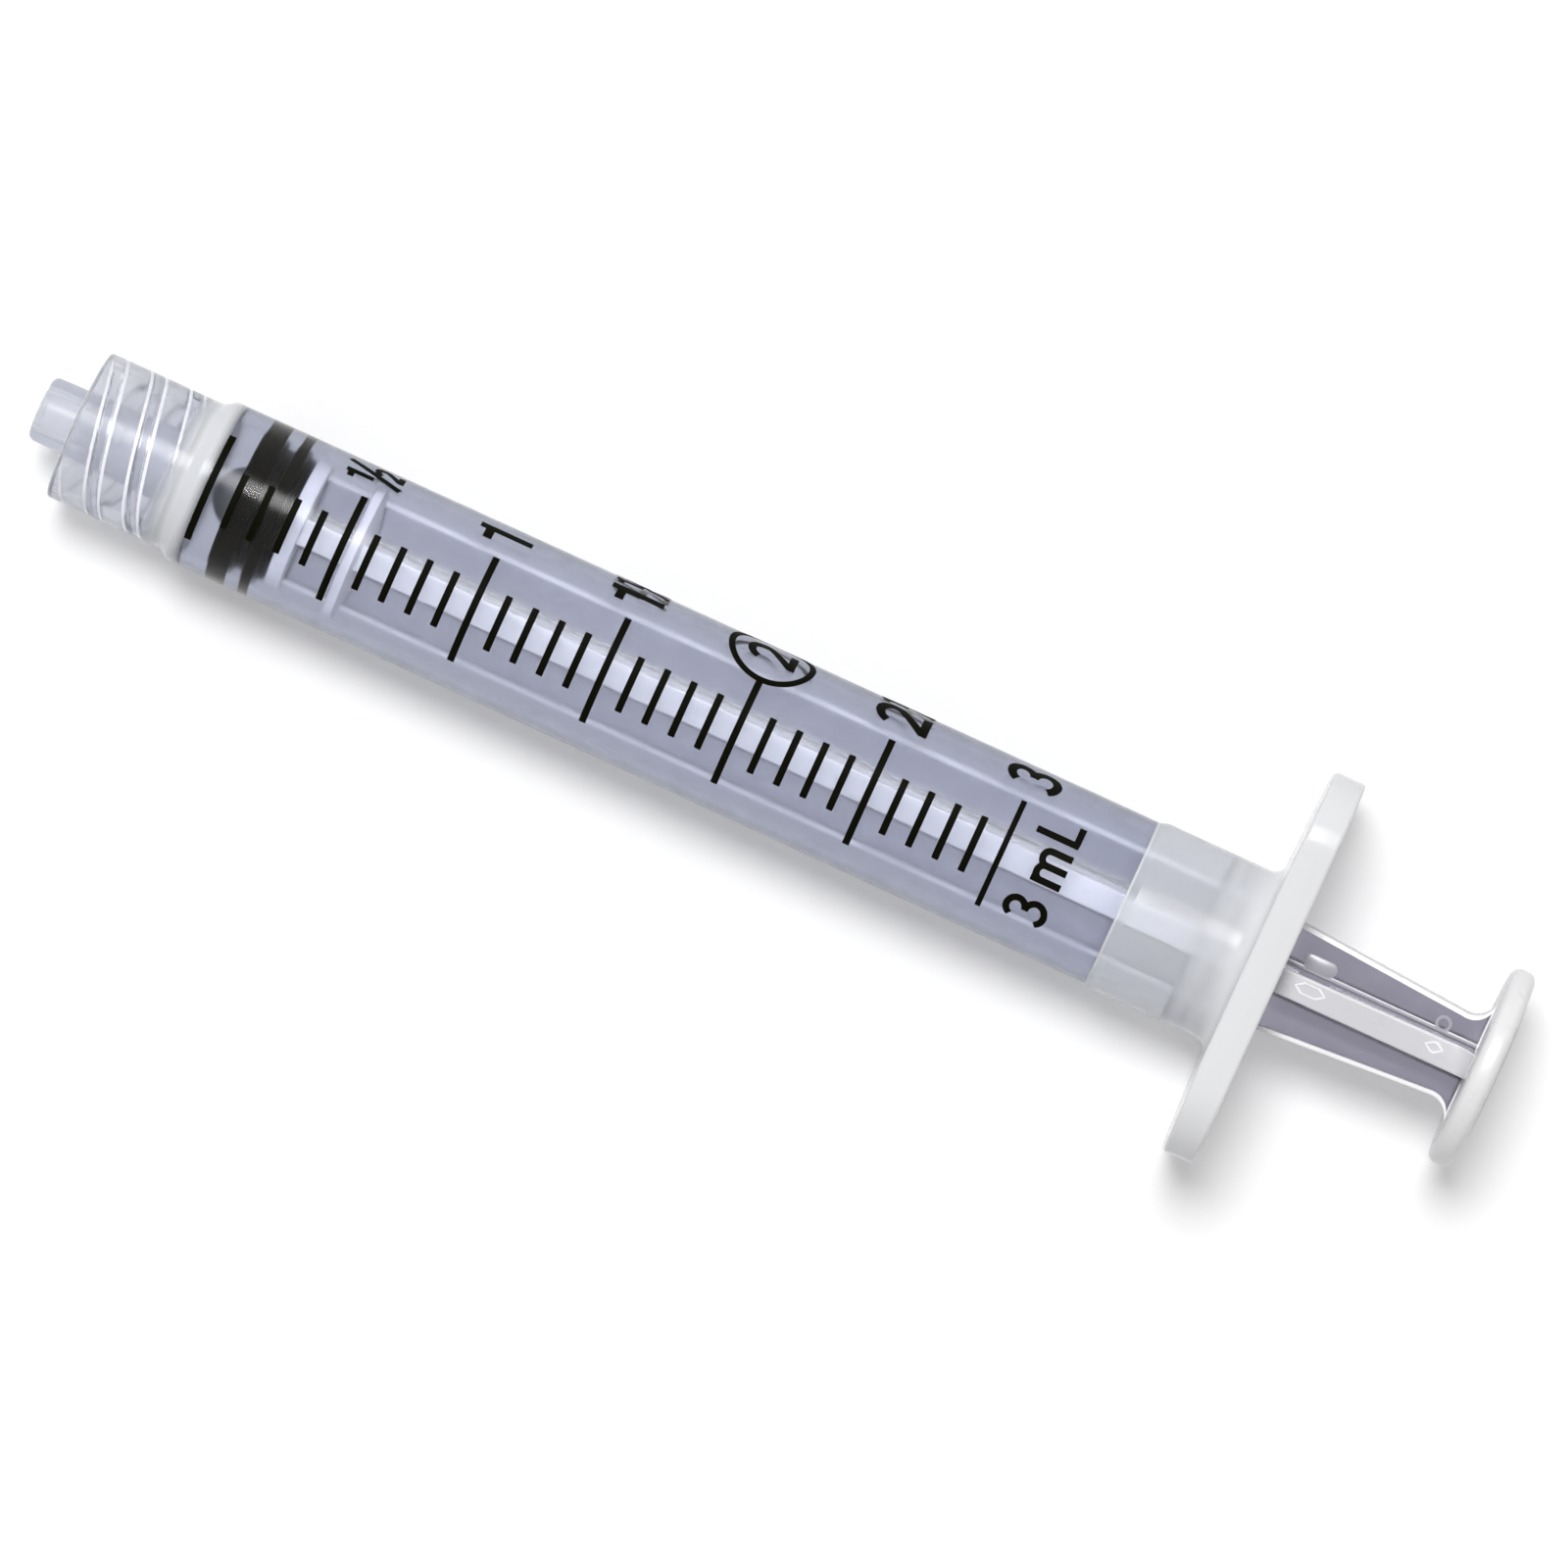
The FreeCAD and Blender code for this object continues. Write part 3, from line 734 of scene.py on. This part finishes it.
def ink_strip(points, width, closed=False):
    """A closed slab of ink along a line of (x, turn) points, wrapped on the barrel."""
    path = np.array([(x, t * WRAP_R) for x, t in points])
    count = len(path)
    rings = []
    for i in range(count):
        before = path[i - 1] if closed or i else path[i]
        after = path[(i + 1) % count] if closed or i < count - 1 else path[i]
        steps = [v / np.linalg.norm(v) for v in (path[i] - before, after - path[i]) if np.linalg.norm(v) > 0]
        along = sum(steps)
        along = along / np.linalg.norm(along)
        stretch = 1 / max(abs(along @ steps[0]), 0.4)
        normal = np.array([-along[1], along[0]]) * width / 2 * stretch
        left, right = path[i] + normal, path[i] - normal
        middle = (left + right) / 2
        corners = ((left, -INK_SINK), (left, INK_TOP), (middle, INK_TOP),
                   (right, INK_TOP), (right, -INK_SINK), (middle, -INK_SINK))
        rings.append([on_barrel(p[0], p[1] / WRAP_R, lift) for p, lift in corners])
    return rings, closed


def add_strip(vertices, faces, strip):
    """Adds one strip's rings to a mesh in the making, as a closed loop or with flat ends."""
    rings, closed = strip
    base = len(vertices)
    size = len(rings[0])
    rows = len(rings)
    for r in rings:
        vertices += r
    for i in range(rows if closed else rows - 1):
        j = (i + 1) % rows
        for k in range(size):
            m = (k + 1) % size
            faces.append((base + i * size + k, base + i * size + m, base + j * size + m, base + j * size + k))
    if not closed:
        faces.append(tuple(base + k for k in range(size)))
        faces.append(tuple(base + (rows - 1) * size + k for k in range(size)))


def line_points(a, b, step=0.05):
    """Points from a to b, close enough together to follow the barrel."""
    count = max(1, math.ceil(math.hypot(b[0] - a[0], b[1] - a[1]) / step))
    return [(a[0] + (b[0] - a[0]) * k / count, a[1] + (b[1] - a[1]) * k / count) for k in range(count + 1)]


def arc_points(centre, rx, ry, start, end, count=18):
    """Points on an arc of an ellipse, angles in degrees from +u toward +v."""
    sweep = [math.radians(start + (end - start) * k / count) for k in range(count + 1)]
    return [(centre[0] + rx * math.cos(a), centre[1] + ry * math.sin(a)) for a in sweep]


def glyph(name):
    """The strokes of 1, 2, 3, m, L or a slash, u across and v up in a box one unit high, and the width."""
    if name == "1":
        return [line_points((0.39, 0), (0.39, 1)), line_points((0.36, 0.80), (0.04, 0.80))], 0.48
    if name == "2":
        bowl = arc_points((0.33, 0.69), 0.26, 0.245, 165, -38)
        bowl += line_points(bowl[-1], (0.10, 0.10))[1:]
        return [bowl, line_points((0.02, 0.065), (0.63, 0.065))], 0.63
    if name == "3":
        upper = arc_points((0.32, 0.725), 0.235, 0.21, 158, -90)
        lower = arc_points((0.32, 0.29), 0.26, 0.225, 90, -158)
        return [upper, lower], 0.62
    if name == "m":
        strokes = [line_points((0.08, 0), (0.08, 0.7))]
        for u in (0.08, 0.41):
            arch = arc_points((u + 0.165, 0.48), 0.165, 0.15, 165, 0)
            strokes.append(arch + line_points((u + 0.33, 0.48), (u + 0.33, 0))[1:])
        return strokes, 0.86
    if name == "L":
        return [line_points((0.08, 0), (0.08, 1)), line_points((0.08, 0.065), (0.52, 0.065))], 0.56
    return [line_points((0.0, -0.02), (0.42, 1.02))], 0.42


def write(vertices, faces, text, x_centre, turn_start, height, width):
    """Characters round the barrel, their tops toward the tip, reading toward +y."""
    turn = math.radians(turn_start)
    u0 = 0.0
    for name in text:
        strokes, advance = glyph(name)
        for stroke in strokes:
            points = [(x_centre + height * (0.5 - v), turn - (u0 + u * height) / WRAP_R) for u, v in stroke]
            add_strip(vertices, faces, ink_strip(points, width))
        u0 += (advance + 0.14) * height


def write_half(vertices, faces, x_centre, turn_start, height, width):
    """The fraction one half: a small 1 high on the left, a slash, and a small 2 low on the right."""
    small = height * 0.52
    top = x_centre + height / 2
    turn = math.radians(turn_start)
    parts = (("1", 0.0, height - small, small), ("/", 0.18 * height, 0, height),
             ("2", 0.42 * height, 0, small))
    for name, u0, v0, size in parts:
        for stroke in glyph(name)[0]:
            points = [(top - v0 - v * size, turn - (u0 + u * size) / WRAP_R) for u, v in stroke]
            add_strip(vertices, faces, ink_strip(points, width))


def build_print():
    """The scale's 31 lines, and its numerals from a half to 3 with the circled 2 and the words "3 mL"."""
    vertices, faces = [], []
    for k in range(31):
        x = ZERO_LINE + SCALE_STEP * k
        start, end = LONG_LINE if k % 5 == 0 else SHORT_LINE
        points = line_points((x, math.radians(start)), (x, math.radians(end)), 0.04)
        add_strip(vertices, faces, ink_strip(points, 0.35 if k == 30 else 0.43))
    settle(mesh_object("scale_lines", vertices, faces), "barrel", [INK])
    vertices, faces = [], []
    at = [ZERO_LINE + SCALE_STEP * 5 * n for n in range(7)]
    tall, bold, thin = 3.3, 0.56, 0.4
    write_half(vertices, faces, at[1] - 0.1, -49, tall, thin)
    write(vertices, faces, "1", at[2] - 0.1, -49, tall, bold)
    write(vertices, faces, "1", at[3] - 0.1, -49, tall, bold)
    write_half(vertices, faces, at[3] - 0.1, -71, tall, thin)
    write(vertices, faces, "2", at[4], -55, 3.0, 0.5)
    radius, turn = 2.55, math.radians(-66)
    circle = [(at[4] + radius * math.cos(a), turn + radius * math.sin(a) / WRAP_R) for a in angles(72)]
    add_strip(vertices, faces, ink_strip(circle, thin, True))
    write(vertices, faces, "2", at[5], -50, tall, bold)
    write_half(vertices, faces, at[5], -77, tall, thin)
    write(vertices, faces, "3", at[6], -50, tall, bold)
    write(vertices, faces, "3", 53.9, 40, 2.7, 0.42)
    write(vertices, faces, "mL", 53.9, 9, 2.7, 0.42)
    settle(mesh_object("scale_numerals", vertices, faces), "barrel", [INK])


# Table, lamps and camera

VIEW_HEIGHT = 0.7
VIEW_WIDTH = 0.0921
VIEW_TURN = math.radians(24.65)
SCREEN_RIGHT = Vector((math.cos(VIEW_TURN), math.sin(VIEW_TURN), 0))
SCREEN_UP = Vector((-math.sin(VIEW_TURN), math.cos(VIEW_TURN), 0))


def maths(tree, operation, *values):
    """A Math node's result, from sockets and plain numbers."""
    node = tree.nodes.new("ShaderNodeMath")
    node.operation = operation
    for value, socket in zip(values, node.inputs):
        if isinstance(value, bpy.types.NodeSocket):
            tree.links.new(value, socket)
        else:
            socket.default_value = value
    return node.outputs[0]


def seen_rays(tree):
    """One for rays from the camera, a gloss or clear plastic, and nothing for the rays that light things."""
    rays = tree.nodes.new("ShaderNodeLightPath")
    seen = maths(tree, "MAXIMUM", rays.outputs["Is Camera Ray"], rays.outputs["Is Glossy Ray"])
    return maths(tree, "MAXIMUM", seen, rays.outputs["Is Transmission Ray"])


def build_table(glow, lit_through):
    """A white table that keeps the shadow. It is bright through clear plastic, where light comes down too."""
    bpy.ops.mesh.primitive_plane_add(size=6, location=(0, 0, 0))
    table = bpy.context.object
    table.name = "table"
    material = bpy.data.materials.new("table_white")
    material.use_nodes = True
    tree = material.node_tree
    tree.nodes.clear()
    out = tree.nodes.new("ShaderNodeOutputMaterial")
    matt = tree.nodes.new("ShaderNodeBsdfDiffuse")
    matt.inputs["Color"].default_value = (0.8, 0.8, 0.805, 1)
    light = tree.nodes.new("ShaderNodeEmission")
    tree.links.new(maths(tree, "MULTIPLY", seen_rays(tree), glow), light.inputs["Strength"])
    both = tree.nodes.new("ShaderNodeAddShader")
    tree.links.new(matt.outputs[0], both.inputs[0])
    tree.links.new(light.outputs[0], both.inputs[1])
    rays = tree.nodes.new("ShaderNodeLightPath")
    white = tree.nodes.new("ShaderNodeEmission")
    blend = tree.nodes.new("ShaderNodeMixShader")
    share = maths(tree, "MULTIPLY", rays.outputs["Is Transmission Ray"], lit_through)
    tree.links.new(share, blend.inputs["Fac"])
    tree.links.new(both.outputs[0], blend.inputs[1])
    tree.links.new(white.outputs[0], blend.inputs[2])
    tree.links.new(blend.outputs[0], out.inputs["Surface"])
    table.data.materials.append(material)


def build_world(ambient, inside):
    """A white studio. Light that reaches things through clear plastic gets a share for the lamp, too,
    which the plastic would otherwise keep out."""
    world = bpy.data.worlds.new("studio")
    bpy.context.scene.world = world
    world.use_nodes = True
    tree = world.node_tree
    tree.nodes.clear()
    out = tree.nodes.new("ShaderNodeOutputWorld")
    sky = tree.nodes.new("ShaderNodeBackground")
    sky.inputs["Color"].default_value = (1, 1, 1, 1)
    level = tree.nodes.new("ShaderNodeMapRange")
    level.inputs["To Min"].default_value = ambient
    level.inputs["To Max"].default_value = 1.0
    tree.links.new(seen_rays(tree), level.inputs["Value"])
    rays = tree.nodes.new("ShaderNodeLightPath")
    scattered = maths(tree, "MINIMUM", rays.outputs["Diffuse Depth"], 1)
    through = maths(tree, "MULTIPLY", rays.outputs["Is Transmission Ray"], scattered)
    total = maths(tree, "MULTIPLY_ADD", through, inside - 1, level.outputs["Result"])
    tree.links.new(total, sky.inputs["Strength"])
    tree.links.new(sky.outputs[0], out.inputs["Surface"])


def add_lamp(name, strength, spread, toward):
    """A soft lamp that lies in a direction and is as wide as its spread in degrees."""
    lamp = bpy.data.lights.new(name, "SUN")
    lamp.energy = strength
    lamp.angle = math.radians(spread)
    holder = bpy.data.objects.new(name, lamp)
    bpy.context.scene.collection.objects.link(holder)
    holder.rotation_euler = Vector(toward).to_track_quat("Z", "Y").to_euler()
    return holder


def build_lamps():
    """A soft box above, and a long one that only shows as gloss, such as the pale band along the barrel."""
    add_lamp("softbox", 2.25, 21, (-0.20, 0.29, 1))
    gloss = add_lamp("gloss", 1.8, 22, (0, 0.36, 1))
    gloss.visible_diffuse = False
    gloss.visible_transmission = False


def build_camera():
    """A camera straight above, turned so that the syringe lies as in the photo."""
    camera = bpy.data.cameras.new("camera")
    camera.sensor_width = 36
    camera.lens = camera.sensor_width * VIEW_HEIGHT / VIEW_WIDTH
    camera.clip_start = 0.01
    holder = bpy.data.objects.new("camera", camera)
    bpy.context.scene.collection.objects.link(holder)
    middle = BORE_FRONT + ALONG * 0.03795
    turn = Matrix((SCREEN_RIGHT, SCREEN_UP, Vector((0, 0, 1)))).transposed().to_4x4()
    holder.matrix_world = Matrix.Translation((middle.x, -0.00194, middle.z + VIEW_HEIGHT)) @ turn
    bpy.context.scene.camera = holder


build_barrel()
build_stopper()
build_rod()
build_print()
build_table(glow=0.25, lit_through=0.75)
build_world(ambient=0.30, inside=2.1)
build_lamps()
build_camera()
bpy.context.scene.view_settings.view_transform = "Standard"
